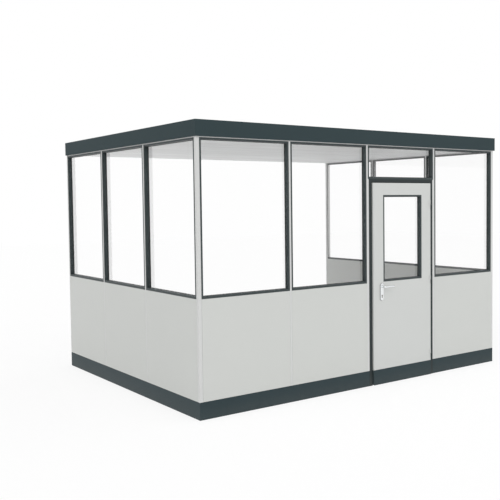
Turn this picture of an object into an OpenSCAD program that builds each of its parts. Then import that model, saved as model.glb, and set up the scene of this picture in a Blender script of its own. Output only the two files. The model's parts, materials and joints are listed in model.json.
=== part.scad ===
// In-plant office cabin, three walls and a roof against an existing wall.
// Millimetres, +Z up. +X runs along the front wall to the right, +Y goes back.
// The origin is on the floor, in the middle of the cabin's bounding box.

/* [Bays] */
// Width of a window bay, from post to post
bay_w = 968; // [700:1:1250]
// Number of bays in the front wall (the door takes the third)
front_bays = 4; // [4:1:6]
// Number of bays in each side wall
side_bays = 3; // [2:1:5]
// Face width of a post between two bays
post_w = 20; // [14:1:60]
// Face width of a corner post
corner_w = 34; // [26:1:42]
// Face width of the profile that ends a side wall
end_w = 22; // [14:1:60]

/* [Walls] */
// Wall thickness
wall_t = 50; // [42:1:60]
// Height of the plinth
plinth_h = 160; // [80:1:300]
// Height of the window sills above the floor
sill_z = 1068; // [500:1:1400]
// Height of the walls, which is the ceiling height
wall_h = 2485; // [2300:1:3200]
// Thickness of the head rail over the windows
rail_h = 8; // [6:1:60]
// Joint on each side of a wall panel
panel_joint = 0.8; // [0.3:0.1:3]

/* [Windows] */
// Face width of a window frame
frame_w = 18; // [14:1:40]
// Face width of a window frame's bottom bar
frame_bottom_w = 22; // [14:1:50]
// Thickness of a pane
glass_t = 4; // [3:0.5:8]
// Depth of the bead that holds a pane from inside
bead_t = 4; // [2:1:20]
// Bite of a pane in its frame
glass_bite = 4; // [2:0.5:6]

/* [Roof] */
// Height of the fascia
fascia_h = 145; // [100:1:300]
// How far the fascia stands proud of the walls
fascia_t = 15; // [4:1:60]
// Thickness of the roof panels
roof_t = 80; // [40:1:99]
// Number of roof panels from front to back
roof_count = 3; // [1:1:6]
// Joint between two roof panels
roof_joint = 1; // [0.5:0.5:5]
// Thickness of the trim on the roof's rear edge
roof_trim_t = 16; // [3:1:40]

/* [Door] */
// Packing on each side of the door frame, in its bay
packer_w = 11; // [4:1:60]
// Face width of the door frame
jamb_w = 42; // [25:1:70]
// Height of the door frame, outside
door_frame_h = 2136; // [1900:1:2200]
// Height of the door frame's head
door_head_h = 34; // [20:1:80]
// Width of the stop behind the leaf
stop_w = 12; // [6:1:20]
// Thickness of the stop
stop_t = 12; // [6:1:16]
// Running gap round the leaf
leaf_gap = 5; // [4:0.5:10]
// Gap under the leaf
leaf_floor_gap = 6; // [5:0.5:20]
// How far the leaf stands proud of the wall
leaf_proud = 15; // [0:1:20]
// Width of the leaf on each side of its window
leaf_stile_w = 140.5; // [120:0.5:220]
// Height of the window in the leaf, outside its frame
leaf_window_h = 900; // [400:1:1000]
// Distance of that window from the top of the leaf
leaf_window_drop = 125; // [80:1:300]
// Thickness of the kick plate
kick_t = 2; // [1:0.5:4]
// Gap under the kick plate
kick_floor_gap = 3; // [2:0.5:10]

/* [Hinges] */
// Number of hinges
hinge_count = 3; // [2:1:4]
// Height of one hinge
hinge_h = 100; // [60:1:160]
// Diameter of the hinge barrel
barrel_d = 16; // [12:1:20]
// Diameter of the hinge pin
pin_d = 8; // [5:1:10]
// Width of the hinge flap on the leaf
flap_w = 34; // [20:1:60]
// Thickness of the hinge flap
flap_t = 2.5; // [1.5:0.5:4]
// Distance of the outer hinges from the ends of the leaf
hinge_inset = 180; // [100:1:400]

/* [Handle] */
// Height of the lever above the floor
lever_z = 1022; // [900:1:1100]
// Distance of the lever's spindle from the edge of the leaf
backset = 114; // [60:1:140]
// Length of the lever from its spindle
lever_len = 138; // [90:1:180]
// Diameter of the lever and its neck
lever_d = 19; // [14:1:26]
// How far the lever reaches from the leaf
lever_reach = 62; // [40:1:80]
// Width of a back plate
plate_w = 48; // [36:1:60]
// Length of a back plate
plate_h = 184; // [160:1:260]
// Thickness of a back plate
plate_t = 8; // [4:1:12]
// Distance of the spindle from the back plate's top
plate_drop = 38; // [26:1:60]
// Distance from the spindle down to the lock cylinder
lock_drop = 92; // [60:1:100]
// Diameter of the lock cylinder's round part
cylinder_d = 17; // [14:1:22]
// Width of the lock cylinder's lower part
cylinder_leg_w = 10; // [7:1:13]
// Height of the lock cylinder, over all
cylinder_h = 33; // [26:1:40]
// How far the lock cylinder stands out of the back plates
cylinder_proud = 2; // [0:0.5:5]
// Side of the square spindle
spindle_w = 8; // [6:1:9]

/* [Hidden] */
$fn = 64;

light_grey = [0.80, 0.82, 0.80];
anthracite = [0.24, 0.29, 0.31];
roof_white = [0.86, 0.87, 0.88];
clear_glass = [0.80, 0.88, 0.90, 0.35];
silver = [0.82, 0.83, 0.84];

fit_gap = 0.3;        // sliding fits and panes in their grooves
groove_gap = 1;       // a pane's edge to the bottom of its groove
door_bay = 2;         // bays in the front wall that stand left of the door
cut = 1;              // how far a cutting body runs past a face

pitch = bay_w + post_w;
front_len = 2 * corner_w + front_bays * bay_w + (front_bays - 1) * post_w;
side_len = corner_w + side_bays * bay_w + (side_bays - 1) * post_w + end_w;
window_top = wall_h - rail_h;
glass_depth = wall_t - bead_t - glass_t;    // wall face to the pane's outer face

// Front wall face, so that the box over wall, fascia and handle is centred on the origin
reach_front = max(leaf_proud + lever_reach, fascia_t);
front_y = reach_front - (side_len + reach_front) / 2;

// Start of bay i in the front wall, and in a side wall counted from its front corner
function bay_x(i) = corner_w + i * pitch;

// Door positions along the front wall
door_bay_x = bay_x(door_bay);
frame_x0 = door_bay_x + packer_w;
frame_x1 = door_bay_x + bay_w - packer_w;
door_frame_w = frame_x1 - frame_x0;
leaf_x0 = frame_x0 + jamb_w + leaf_gap;
leaf_x1 = frame_x1 - jamb_w - leaf_gap;
leaf_top = door_frame_h - door_head_h - leaf_gap;
leaf_y0 = -leaf_proud;
leaf_y1 = wall_t - stop_t - leaf_gap;
leaf_t = leaf_y1 - leaf_y0;
leaf_glass_y = leaf_y1 - bead_t - glass_t;
leaf_window_w = leaf_x1 - leaf_x0 - 2 * leaf_stile_w;
leaf_window_x0 = leaf_x0 + leaf_stile_w;
leaf_window_z0 = leaf_top - leaf_window_drop - leaf_window_h;

// Hinge axis, in front of the joint between leaf and frame
barrel_r = barrel_d / 2;
hinge_x = leaf_x1 + barrel_r;
hinge_y = leaf_y0 - barrel_r / 2;
hinge_span = leaf_top - leaf_floor_gap - 2 * hinge_inset - hinge_h;
function hinge_z(i) = leaf_floor_gap + hinge_inset + i * hinge_span / (hinge_count - 1);

spindle_x = leaf_x0 + backset;
neck_clear_d = lever_d + 2 * fit_gap;

// Each wall is drawn with x along it and y into the room, from its outer face
module on_front() {
    translate([-front_len / 2, front_y, 0]) children();
}

module on_left() {
    translate([-front_len / 2, front_y, 0]) mirror([1, -1, 0]) children();
}

module on_right() {
    translate([front_len / 2, front_y, 0]) rotate([0, 0, 90]) children();
}

// Plan of the front wall between x0 and x1, mitred at both corners
module front_plan(x0, x1) {
    intersection() {
        polygon([[0, 0], [front_len, 0], [front_len - wall_t, wall_t], [wall_t, wall_t]]);
        translate([x0, -cut]) square([x1 - x0, wall_t + 2 * cut]);
    }
}

// Plan of a side wall between x0 and x1, mitred at its front corner only
module side_plan(x0, x1) {
    intersection() {
        polygon([[0, 0], [side_len, 0], [side_len, wall_t], [wall_t, wall_t]]);
        translate([x0, -cut]) square([x1 - x0, wall_t + 2 * cut]);
    }
}

module front_piece(x0, x1, z0, z1) {
    translate([0, 0, z0]) linear_extrude(z1 - z0) front_plan(x0, x1);
}

module side_piece(x0, x1, z0, z1) {
    translate([0, 0, z0]) linear_extrude(z1 - z0) side_plan(x0, x1);
}

// Opening of a window frame with the pane's groove round it
module glazing_cut(x0, x1, z0, z1, y_out, y_in, y_glass) {
    groove = glass_bite + groove_gap;
    translate([x0, y_out - cut, z0]) cube([x1 - x0, y_in - y_out + 2 * cut, z1 - z0]);
    translate([x0 - groove, y_glass - fit_gap, z0 - groove])
        cube([x1 - x0 + 2 * groove, glass_t + 2 * fit_gap, z1 - z0 + 2 * groove]);
}

// Pane for such an opening
module pane(x0, x1, z0, z1, y_glass) {
    translate([x0 - glass_bite, y_glass, z0 - glass_bite])
        cube([x1 - x0 + 2 * glass_bite, glass_t, z1 - z0 + 2 * glass_bite]);
}

module window_cut(x0, x1, z0, z1) {
    glazing_cut(x0 + frame_w, x1 - frame_w, z0 + frame_bottom_w, z1 - frame_w, 0, wall_t, glass_depth);
}

module window_pane(x0, x1, z0, z1) {
    pane(x0 + frame_w, x1 - frame_w, z0 + frame_bottom_w, z1 - frame_w, glass_depth);
}

module front_window(x0, z0) {
    difference() {
        front_piece(x0, x0 + bay_w, z0, window_top);
        window_cut(x0, x0 + bay_w, z0, window_top);
    }
}

module front_pane(x0, z0) {
    intersection() {
        front_piece(0, front_len, 0, wall_h);
        window_pane(x0, x0 + bay_w, z0, window_top);
    }
}

module side_window(x0) {
    difference() {
        side_piece(x0, x0 + bay_w, sill_z, window_top);
        window_cut(x0, x0 + bay_w, sill_z, window_top);
    }
}

module side_pane(x0) {
    intersection() {
        side_piece(0, side_len, 0, wall_h);
        window_pane(x0, x0 + bay_w, sill_z, window_top);
    }
}

module plinth_left() {
    color(anthracite) on_left() side_piece(0, side_len, 0, plinth_h);
}

module plinth_right() {
    color(anthracite) on_right() side_piece(0, side_len, 0, plinth_h);
}

module plinth_front_left() {
    color(anthracite) on_front() front_piece(0, frame_x0, 0, plinth_h);
}

module plinth_front_right() {
    color(anthracite) on_front() front_piece(frame_x1, front_len, 0, plinth_h);
}

// Panel below a window
module front_panel(i) {
    front_piece(bay_x(i) + panel_joint, bay_x(i) + bay_w - panel_joint, plinth_h, sill_z);
}

module side_panels() {
    for (i = [0 : side_bays - 1])
        side_piece(bay_x(i) + panel_joint, bay_x(i) + bay_w - panel_joint, plinth_h, sill_z);
}

module left_panels() {
    color(light_grey) on_left() side_panels();
}

module right_panels() {
    color(light_grey) on_right() side_panels();
}

module front_left_panels() {
    color(light_grey) on_front() for (i = [0 : door_bay - 1]) front_panel(i);
}

module front_right_panel() {
    color(light_grey) on_front() for (i = [door_bay + 1 : front_bays - 1]) front_panel(i);
}

module corner_post() {
    translate([0, 0, plinth_h]) cube([corner_w, corner_w, window_top - plinth_h]);
}

module corner_post_left() {
    color(light_grey) on_front() corner_post();
}

module corner_post_right() {
    color(light_grey) on_front() translate([front_len - corner_w, 0, 0]) corner_post();
}

module side_posts() {
    for (i = [1 : side_bays - 1])
        side_piece(bay_x(i) - post_w, bay_x(i), plinth_h, window_top);
}

module left_posts() {
    color(light_grey) on_left() side_posts();
}

module right_posts() {
    color(light_grey) on_right() side_posts();
}

// Posts between window bays in the front wall
module front_post() {
    color(light_grey) on_front() for (i = [1 : front_bays - 1])
        if (i < door_bay || i > door_bay + 1)
            front_piece(bay_x(i) - post_w, bay_x(i), plinth_h, window_top);
}

// Posts beside the door: wider up to the top of the door frame, where they pack it out
module door_post_left() {
    color(light_grey) on_front() union() {
        front_piece(door_bay_x - post_w, door_bay_x, plinth_h, window_top);
        front_piece(door_bay_x - cut, frame_x0, plinth_h, door_frame_h);
    }
}

module door_post_right() {
    bay_end = door_bay_x + bay_w;
    color(light_grey) on_front() union() {
        front_piece(bay_end, bay_end + post_w, plinth_h, window_top);
        front_piece(frame_x1, bay_end + cut, plinth_h, door_frame_h);
    }
}

// Profiles that end the side walls against the existing wall
module wall_end_left() {
    color(light_grey) on_left() side_piece(side_len - end_w, side_len, plinth_h, window_top);
}

// On the right the profile is also the rear stile of the last window
module wall_end_right() {
    last_x = bay_x(side_bays - 1);
    color(light_grey) on_right() difference() {
        union() {
            side_piece(side_len - end_w, side_len, plinth_h, window_top);
            side_piece(side_len - end_w - frame_w, side_len, sill_z, window_top);
        }
        window_cut(last_x, last_x + bay_w, sill_z, window_top);
    }
}

// Head rails over the windows
module left_head_rail() {
    color(light_grey) on_left() side_piece(0, side_len, window_top, wall_h);
}

module right_head_rail() {
    color(light_grey) on_right() side_piece(0, side_len, window_top, wall_h);
}

module front_head_rail() {
    color(light_grey) on_front() front_piece(0, front_len, window_top, wall_h);
}

module left_window_frames() {
    color(anthracite) on_left() for (i = [0 : side_bays - 1]) side_window(bay_x(i));
}

module right_window_frames() {
    color(anthracite) on_right() intersection() {
        for (i = [0 : side_bays - 1]) side_window(bay_x(i));
        side_piece(0, side_len - end_w - frame_w, 0, wall_h);
    }
}

module front_left_window_frames() {
    color(anthracite) on_front() for (i = [0 : door_bay - 1]) front_window(bay_x(i), sill_z);
}

module front_right_window_frame() {
    color(anthracite) on_front()
        for (i = [door_bay + 1 : front_bays - 1]) front_window(bay_x(i), sill_z);
}

module transom_frame() {
    color(anthracite) on_front() front_window(door_bay_x, door_frame_h);
}

module left_glass() {
    color(clear_glass) on_left() for (i = [0 : side_bays - 1]) side_pane(bay_x(i));
}

module right_glass() {
    color(clear_glass) on_right() for (i = [0 : side_bays - 1]) side_pane(bay_x(i));
}

module front_left_glass() {
    color(clear_glass) on_front() for (i = [0 : door_bay - 1]) front_pane(bay_x(i), sill_z);
}

module front_right_glass() {
    color(clear_glass) on_front()
        for (i = [door_bay + 1 : front_bays - 1]) front_pane(bay_x(i), sill_z);
}

module transom_glass() {
    color(clear_glass) on_front() front_pane(door_bay_x, door_frame_h);
}

// Fascia outside the wall faces, mitred at the corners
module fascia_plan(len, mitred_end) {
    polygon([
        [-fascia_t, -fascia_t],
        [len + (mitred_end ? fascia_t : 0), -fascia_t],
        [len, 0],
        [0, 0]
    ]);
}

module left_fascia() {
    color(anthracite) on_left() translate([0, 0, wall_h])
        linear_extrude(fascia_h) fascia_plan(side_len, false);
}

module right_fascia() {
    color(anthracite) on_right() translate([0, 0, wall_h])
        linear_extrude(fascia_h) fascia_plan(side_len, false);
}

module front_fascia() {
    color(anthracite) on_front() translate([0, 0, wall_h])
        linear_extrude(fascia_h) fascia_plan(front_len, true);
}

module roof_panels() {
    depth = (side_len - roof_trim_t + roof_joint) / roof_count;
    color(roof_white) on_front() for (i = [0 : roof_count - 1])
        translate([0, i * depth, wall_h]) cube([front_len, depth - roof_joint, roof_t]);
}

module roof_rear_trim() {
    color(anthracite) on_front()
        translate([0, side_len - roof_trim_t, wall_h]) cube([front_len, roof_trim_t, roof_t]);
}

// Section of a jamb with its stop, drawn from the outer edge of the frame
module jamb_plan() {
    square([jamb_w, wall_t]);
    translate([0, wall_t - stop_t]) square([jamb_w + stop_w, stop_t]);
}

module door_jamb_left() {
    color(anthracite) on_front() translate([frame_x0, 0, 0])
        linear_extrude(door_frame_h - door_head_h) jamb_plan();
}

// The right jamb carries the lower hinge halves with their pins
module door_jamb_right() {
    color(anthracite) on_front() union() {
        translate([frame_x1, 0, 0]) mirror([1, 0, 0])
            linear_extrude(door_frame_h - door_head_h) jamb_plan();
        for (i = [0 : hinge_count - 1])
            translate([hinge_x, hinge_y, hinge_z(i)]) {
                cylinder(d = barrel_d, h = hinge_h / 2 - fit_gap);
                cylinder(d = pin_d, h = hinge_h - flap_t);
                cube([barrel_r, cut - hinge_y, hinge_h / 2 - fit_gap]);
            }
    }
}

module door_frame_head() {
    z0 = door_frame_h - door_head_h;
    color(anthracite) on_front() union() {
        translate([frame_x0, 0, z0]) cube([door_frame_w, wall_t, door_head_h]);
        translate([frame_x0 + jamb_w + stop_w, wall_t - stop_t, z0 - stop_w])
            cube([door_frame_w - 2 * jamb_w - 2 * stop_w, stop_t, stop_w + cut]);
    }
}

// Shape of the lock cylinder's end, centred on its round part
module cylinder_profile(gap) {
    circle(d = cylinder_d + 2 * gap);
    translate([-cylinder_leg_w / 2 - gap, -(cylinder_h - cylinder_d / 2) - gap])
        square([cylinder_leg_w + 2 * gap, cylinder_h - cylinder_d / 2 + gap]);
}

module along_door(y0) {
    translate([spindle_x, y0, lever_z]) rotate([90, 0, 0]) children();
}

module door_leaf() {
    color(light_grey) on_front() difference() {
        translate([leaf_x0, leaf_y0, leaf_floor_gap])
            cube([leaf_x1 - leaf_x0, leaf_t, leaf_top - leaf_floor_gap]);
        translate([leaf_window_x0, leaf_y0 - cut, leaf_window_z0])
            cube([leaf_window_w, leaf_t + 2 * cut, leaf_window_h]);
        along_door(leaf_y1 + cut) cylinder(d = neck_clear_d, h = leaf_t + 2 * cut);
        along_door(leaf_y1 + cut) translate([0, -lock_drop, 0])
            linear_extrude(leaf_t + 2 * cut) cylinder_profile(fit_gap);
    }
}

module door_kick_plate() {
    color(anthracite) on_front()
        translate([leaf_x0, leaf_y0 - kick_t, kick_floor_gap])
            cube([leaf_x1 - leaf_x0, kick_t, plinth_h - kick_floor_gap]);
}

module door_window_frame() {
    x1 = leaf_window_x0 + leaf_window_w;
    z1 = leaf_window_z0 + leaf_window_h;
    color(anthracite) on_front() difference() {
        translate([leaf_window_x0, leaf_y0, leaf_window_z0])
            cube([leaf_window_w, leaf_t, leaf_window_h]);
        glazing_cut(leaf_window_x0 + frame_w, x1 - frame_w, leaf_window_z0 + frame_w, z1 - frame_w,
            leaf_y0, leaf_y1, leaf_glass_y);
    }
}

module door_glass() {
    x1 = leaf_window_x0 + leaf_window_w;
    z1 = leaf_window_z0 + leaf_window_h;
    color(clear_glass) on_front()
        pane(leaf_window_x0 + frame_w, x1 - frame_w, leaf_window_z0 + frame_w, z1 - frame_w,
            leaf_glass_y);
}

// Upper hinge halves: a bored barrel with a flap screwed to the leaf's face
module door_hinges() {
    color(anthracite) on_front() for (i = [0 : hinge_count - 1])
        translate([hinge_x, hinge_y, hinge_z(i) + hinge_h / 2 + fit_gap]) difference() {
            union() {
                cylinder(d = barrel_d, h = hinge_h / 2 - fit_gap);
                translate([-barrel_r - flap_w, leaf_y0 - hinge_y - flap_t, 0])
                    cube([barrel_r + flap_w, flap_t, hinge_h / 2 - fit_gap]);
            }
            translate([0, 0, -cut]) cylinder(d = pin_d + 2 * fit_gap, h = hinge_h / 2 - flap_t + cut);
        }
}

// Outline of a back plate with round ends, centred on the spindle
module plate_outline() {
    top = plate_drop - plate_w / 2;
    bottom = plate_drop - plate_h + plate_w / 2;
    translate([0, top]) circle(d = plate_w);
    translate([0, bottom]) circle(d = plate_w);
    translate([-plate_w / 2, bottom]) square([plate_w, top - bottom]);
}

module back_plate() {
    linear_extrude(plate_t) difference() {
        plate_outline();
        circle(d = neck_clear_d);
        translate([0, -lock_drop]) cylinder_profile(fit_gap);
    }
}

// Back plates on both faces and the lock cylinder that runs through them
module door_lock_set() {
    through = leaf_t + 2 * plate_t + 2 * cylinder_proud;
    color(silver) on_front() {
        along_door(leaf_y0) back_plate();
        along_door(leaf_y1 + plate_t) back_plate();
        along_door(leaf_y1 + plate_t + cylinder_proud) translate([0, -lock_drop, 0])
            linear_extrude(through) cylinder_profile(0);
    }
}

// One lever: neck out of the leaf, round elbow and grip towards the hinges
module lever() {
    grip_z = lever_reach - lever_d / 2;
    cylinder(d = lever_d, h = grip_z);
    translate([0, 0, grip_z]) sphere(d = lever_d);
    translate([0, 0, grip_z]) rotate([0, 90, 0]) cylinder(d = lever_d, h = lever_len - lever_d / 2);
    translate([lever_len - lever_d / 2, 0, grip_z]) sphere(d = lever_d);
}

module door_levers() {
    color(silver) on_front() union() {
        along_door(leaf_y0) lever();
        translate([spindle_x, leaf_y1, lever_z]) rotate([-90, 0, 0]) lever();
        translate([spindle_x - spindle_w / 2, leaf_y0 - cut, lever_z - spindle_w / 2])
            cube([spindle_w, leaf_t + 2 * cut, spindle_w]);
    }
}

plinth_left();
plinth_front_left();
plinth_front_right();
plinth_right();
left_panels();
front_left_panels();
front_right_panel();
right_panels();
corner_post_left();
corner_post_right();
left_posts();
front_post();
door_post_left();
door_post_right();
right_posts();
wall_end_left();
wall_end_right();
left_head_rail();
front_head_rail();
right_head_rail();
left_window_frames();
front_left_window_frames();
front_right_window_frame();
right_window_frames();
transom_frame();
left_glass();
front_left_glass();
front_right_glass();
right_glass();
transom_glass();
left_fascia();
front_fascia();
right_fascia();
roof_panels();
roof_rear_trim();
door_jamb_left();
door_jamb_right();
door_frame_head();
door_leaf();
door_kick_plate();
door_window_frame();
door_glass();
door_hinges();
door_lock_set();
door_levers();
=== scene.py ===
import json

import bmesh
import bpy
import numpy as np
from mathutils import Matrix, Vector


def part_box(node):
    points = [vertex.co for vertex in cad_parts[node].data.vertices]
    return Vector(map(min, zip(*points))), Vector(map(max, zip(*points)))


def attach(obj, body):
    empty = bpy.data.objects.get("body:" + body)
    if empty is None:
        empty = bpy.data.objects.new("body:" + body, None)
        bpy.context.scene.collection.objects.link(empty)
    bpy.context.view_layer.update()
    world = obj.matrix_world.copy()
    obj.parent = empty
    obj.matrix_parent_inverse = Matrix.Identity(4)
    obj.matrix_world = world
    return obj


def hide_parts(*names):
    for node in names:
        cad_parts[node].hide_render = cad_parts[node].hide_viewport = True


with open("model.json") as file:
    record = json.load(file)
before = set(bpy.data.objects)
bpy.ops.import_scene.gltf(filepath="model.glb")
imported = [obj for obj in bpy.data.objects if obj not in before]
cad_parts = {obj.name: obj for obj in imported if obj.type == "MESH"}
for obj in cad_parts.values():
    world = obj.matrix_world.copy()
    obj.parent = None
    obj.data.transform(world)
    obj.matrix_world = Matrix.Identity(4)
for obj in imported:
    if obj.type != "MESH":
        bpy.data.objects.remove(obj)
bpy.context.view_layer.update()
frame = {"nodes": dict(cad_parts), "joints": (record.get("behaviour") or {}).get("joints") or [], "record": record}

mm = 0.001
touching = 0.1 * mm      # solids of one node lie further apart than this
mergeWithin = 0.01 * mm
print("frame loaded:", len(frame["nodes"]), "nodes")

# A wall is worked out flat: x along it from its front or left corner, y into the room, z up
cornerLow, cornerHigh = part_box("corner_post_left")[0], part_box("corner_post_right")[1]
frontLength = cornerHigh.x - cornerLow.x
wallOrigin = {
    "front": np.array([cornerLow.x, cornerLow.y, 0]),
    "left": np.array([cornerLow.x, cornerLow.y, 0]),
    "right": np.array([cornerHigh.x, cornerLow.y, 0]),
}
wallAxes = {
    "front": np.array([[1, 0, 0], [0, 1, 0], [0, 0, 1]], float),
    "left": np.array([[0, 1, 0], [1, 0, 0], [0, 0, 1]], float),
    "right": np.array([[0, 1, 0], [-1, 0, 0], [0, 0, 1]], float),
}


def toWall(points, wall):  # the point less the wall's corner, read along the wall's axes
    return (np.asarray(points, float) - wallOrigin[wall]) @ wallAxes[wall].T


def toCabin(points, wall):  # the wall's corner plus the point along the wall's axes
    return np.asarray(points, float) @ wallAxes[wall] + wallOrigin[wall]


def wallBox(node, wall):  # lowest and highest corner of a node, flat on its wall
    ends = toWall([list(c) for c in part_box(node)], wall)
    return ends.min(0), ends.max(0)


# The separate solids of a node along one axis: its triangles sorted by where they start,
# split where the next one starts past the furthest end so far
def spans(node, wall, axis=0):
    mesh = frame["nodes"][node].data
    co = np.zeros(len(mesh.vertices) * 3)
    mesh.vertices.foreach_get("co", co)
    corner = np.zeros(len(mesh.loops), int)
    mesh.loops.foreach_get("vertex_index", corner)
    along = toWall(co.reshape(-1, 3), wall)[corner.reshape(-1, 3), axis]
    order = np.argsort(along.min(1))
    start, reach = along.min(1)[order], np.maximum.accumulate(along.max(1)[order])
    split = np.flatnonzero(start[1:] > reach[:-1] + touching) + 1
    return list(zip(start[np.r_[0, split]], reach[np.r_[split - 1, -1]]))


def ink(red, green, blue):  # a screen colour as the linear one that shaders take
    c = np.array([red, green, blue]) / 255
    return (*np.where(c < 0.04045, c / 12.92, ((c + 0.055) / 1.055) ** 2.4), 1)


def add(tree, kind, sockets=None, **settings):
    made = tree.nodes.new("ShaderNode" + kind)
    for key, value in settings.items():
        setattr(made, key, value)
    for key, value in (sockets or {}).items():
        if isinstance(value, bpy.types.NodeSocket):
            tree.links.new(value, made.inputs[key])
        else:
            made.inputs[key].default_value = value
    return made


def calc(tree, operation, *terms, clamp=False):
    made = add(tree, "Math", dict(enumerate(terms)), operation=operation, use_clamp=clamp)
    return made.outputs[0]


def newGroup(name, inputs, outputs):
    tree = bpy.data.node_groups.new(name, "ShaderNodeTree")
    for label, kind, value in inputs:
        socket = tree.interface.new_socket(label, in_out="INPUT", socket_type="NodeSocket" + kind)
        socket.default_value = value
    for label, kind in outputs:
        tree.interface.new_socket(label, in_out="OUTPUT", socket_type="NodeSocket" + kind)
    return tree, tree.nodes.new("NodeGroupInput").outputs, tree.nodes.new("NodeGroupOutput").inputs


def useGroup(tree, group, **sockets):
    made = tree.nodes.new("ShaderNodeGroup")
    made.node_tree = group
    for key, value in sockets.items():
        label = key.replace("_", " ")
        if isinstance(value, bpy.types.NodeSocket):
            tree.links.new(value, made.inputs[label])
        else:
            made.inputs[label].default_value = value
    return made.outputs


coatNoise = {"cloud": 1.7, "cloudDetail": 5.0, "cloudRoughness": 0.6, "cloudShare": 0.75, "speck": 95.0,
             "speckDetail": 3.0, "peelDetail": 2.0, "glossDrift": 0.18}
dustNoise = {"patch": 9.0, "detail": 6.0, "roughness": 0.7}
streakNoise = {"detail": 4.0, "roughness": 0.65}


# Powder coat: the colour drifts a little from place to place, the skin has a fine orange peel
def buildCoatGroup():
    tree, given, out = newGroup(
        "powderCoat",
        [("Colour", "Color", (0.5, 0.5, 0.5, 1)), ("Drift", "Float", 0.03), ("Gloss", "Float", 0.4),
         ("Peel", "Float", 420.0)],
        [("Colour", "Color"), ("Roughness", "Float"), ("Height", "Float")],
    )
    place = add(tree, "TexCoord").outputs["Object"]
    cloud = add(tree, "TexNoise", {"Vector": place, "Scale": coatNoise["cloud"],
                                   "Detail": coatNoise["cloudDetail"],
                                   "Roughness": coatNoise["cloudRoughness"]}).outputs[0]
    speck = add(tree, "TexNoise", {"Vector": place, "Scale": coatNoise["speck"],
                                   "Detail": coatNoise["speckDetail"]}).outputs[0]
    peel = add(tree, "TexNoise", {"Vector": place, "Scale": given["Peel"],
                                  "Detail": coatNoise["peelDetail"]}).outputs[0]
    share = coatNoise["cloudShare"]
    blend = calc(tree, "ADD", calc(tree, "MULTIPLY", cloud, share), calc(tree, "MULTIPLY", speck, 1 - share))
    shade = calc(tree, "MULTIPLY_ADD", calc(tree, "SUBTRACT", blend, 0.5), given["Drift"], 1.0)
    tone = add(tree, "VectorMath", {0: given["Colour"], "Scale": shade}, operation="SCALE").outputs[0]
    rough = calc(tree, "MULTIPLY_ADD", calc(tree, "SUBTRACT", speck, 0.5), coatNoise["glossDrift"],
                 given["Gloss"])
    tree.links.new(tone, out["Colour"])
    tree.links.new(rough, out["Roughness"])
    tree.links.new(peel, out["Height"])
    return tree


# Floor dust: a film that fades out above the floor and breaks up in patches
def buildDustGroup():
    tree, given, out = newGroup(
        "floorDust",
        [("Colour", "Color", (0.5, 0.5, 0.5, 1)), ("Dust", "Color", (0.5, 0.5, 0.5, 1)),
         ("Reach", "Float", 0.2), ("Amount", "Float", 0.3)],
        [("Colour", "Color"), ("Mask", "Float")],
    )
    place = add(tree, "TexCoord").outputs["Object"]
    height = add(tree, "SeparateXYZ", {0: place}).outputs["Z"]
    fade = add(tree, "MapRange", {"Value": height, "From Min": 0.0, "From Max": given["Reach"],
                                  "To Min": 1.0, "To Max": 0.0}, interpolation_type="SMOOTHSTEP").outputs[0]
    patch = add(tree, "TexNoise", {"Vector": place, "Scale": dustNoise["patch"],
                                   "Detail": dustNoise["detail"],
                                   "Roughness": dustNoise["roughness"]}).outputs[0]
    mask = calc(tree, "MULTIPLY", calc(tree, "MULTIPLY", fade, patch), given["Amount"], clamp=True)
    mixed = add(tree, "Mix", {0: mask, 6: given["Colour"], 7: given["Dust"]}, data_type="RGBA").outputs[2]
    tree.links.new(mixed, out["Colour"])
    tree.links.new(mask, out["Mask"])
    return tree


# Drawn streaks: noise stretched along one axis, as rolling, drawing or brushing leaves it
def buildStreakGroup():
    tree, given, out = newGroup(
        "drawnStreaks",
        [("Stretch", "Vector", (1, 1, 1)), ("Strength", "Float", 0.1),
         ("Colour", "Color", (0.5, 0.5, 0.5, 1))],
        [("Colour", "Color"), ("Value", "Float")],
    )
    place = add(tree, "TexCoord").outputs["Object"]
    drawn = add(tree, "VectorMath", {0: place, 1: given["Stretch"]}, operation="MULTIPLY").outputs[0]
    streak = add(tree, "TexNoise", {"Vector": drawn, "Scale": 1.0, "Detail": streakNoise["detail"],
                                    "Roughness": streakNoise["roughness"]}).outputs[0]
    shade = calc(tree, "MULTIPLY_ADD", calc(tree, "SUBTRACT", streak, 0.5), given["Strength"], 1.0)
    tone = add(tree, "VectorMath", {0: given["Colour"], "Scale": shade}, operation="SCALE").outputs[0]
    tree.links.new(tone, out["Colour"])
    tree.links.new(streak, out["Value"])
    return tree


coatGroup, dustGroup, streakGroup = buildCoatGroup(), buildDustGroup(), buildStreakGroup()


def newMaterial(name):
    material = bpy.data.materials.new(name)
    material.use_nodes = True
    tree = material.node_tree
    tree.nodes.clear()
    shader = add(tree, "BsdfPrincipled")
    output = add(tree, "OutputMaterial", {"Surface": shader.outputs[0]})
    return material, tree, shader, output


coatLook = {"dust": ink(176, 172, 162), "dustRoughness": 0.35, "peelStrength": 0.35}


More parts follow.
